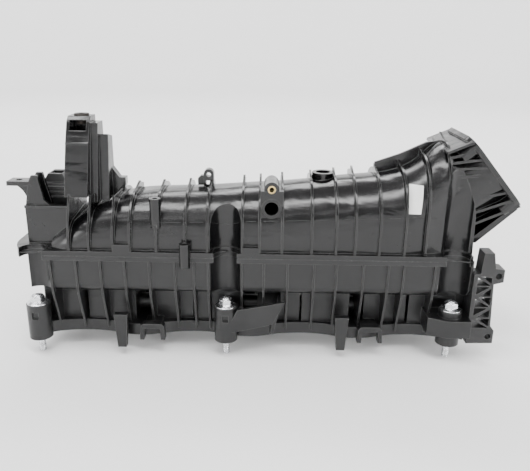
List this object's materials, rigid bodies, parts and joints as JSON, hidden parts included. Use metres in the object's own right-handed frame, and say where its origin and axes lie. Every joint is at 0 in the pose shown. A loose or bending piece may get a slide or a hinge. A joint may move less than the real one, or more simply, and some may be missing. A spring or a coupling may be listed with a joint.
{
  "type": "intake manifold",
  "caption": "Moulded plastic engine intake manifold: ribbed plenum with a sloping throttle flange, short runners with swirl flaps, bolt-down head flange and cable brackets.",
  "frame": {"origin": "middle of the head flange's face, on the row of ports, midway between the second and third cylinders", "axes": "+X along the row of cylinders to the throttle end, -Y to the side with the three bolts, +Z from the head up to the plenum"},
  "size_m": [0.4158, 0.1015, 0.1939],
  "materials": {
    "shell_gloss": "glossy moulded, near black",
    "shell_satin": "satin glass-filled nylon, very dark grey",
    "bracket_satin": "satin glass-filled nylon, dark grey",
    "zinc_bolt": "bright zinc plated",
    "steel_sleeve": "plain rolled steel",
    "brass_insert": "knurled brass",
    "seal_rubber": "brown-black rubber",
    "flap_plastic": "dark moulded plastic",
    "bush_plastic": "ivory bearing plastic",
    "shaft_steel": "ground steel"
  },
  "bodies": {
    "manifold": {"upper_shell": "shell_gloss", "lower_shell": "shell_satin", "port_flange": "shell_satin", "actuator_bracket": "bracket_satin", "bracket_screws": "zinc_bolt", "shaft_bush_left": "bush_plastic", "shaft_bush_right": "bush_plastic", "shaft_end_plug": "shell_satin", "shaft_seal": "seal_rubber", "front_bolts": "zinc_bolt", "rear_bolts": "zinc_bolt", "compression_sleeves": "steel_sleeve", "bolt_retainers": "bush_plastic", "throttle_inserts": "brass_insert", "throttle_gasket": "seal_rubber", "cover_bush": "seal_rubber", "sensor_insert": "brass_insert", "wiring_plug_holder": "bracket_satin", "cable_bridge_1": "shell_satin", "cable_bridge_2": "shell_satin", "flap_frame_1": "flap_plastic", "port_gasket_1": "seal_rubber", "flap_frame_2": "flap_plastic", "port_gasket_2": "seal_rubber", "flap_frame_3": "flap_plastic", "port_gasket_3": "seal_rubber", "flap_frame_4": "flap_plastic", "port_gasket_4": "seal_rubber"},
    "flap_set": {"flap_shaft": "shaft_steel", "flap_lever": "flap_plastic", "lever_ball_stud": "shaft_steel", "lever_clip": "shaft_steel", "swirl_flap_1": "flap_plastic", "swirl_flap_2": "flap_plastic", "swirl_flap_3": "flap_plastic", "swirl_flap_4": "flap_plastic"}
  },
  "joints": [
    {"name": "flap_turn", "type": "hinge", "parent": "manifold", "child": "flap_set", "pos_m": [0, 0, 0.018], "axis": [-1, 0, 0], "range_deg": [0, 88]}
  ]
}
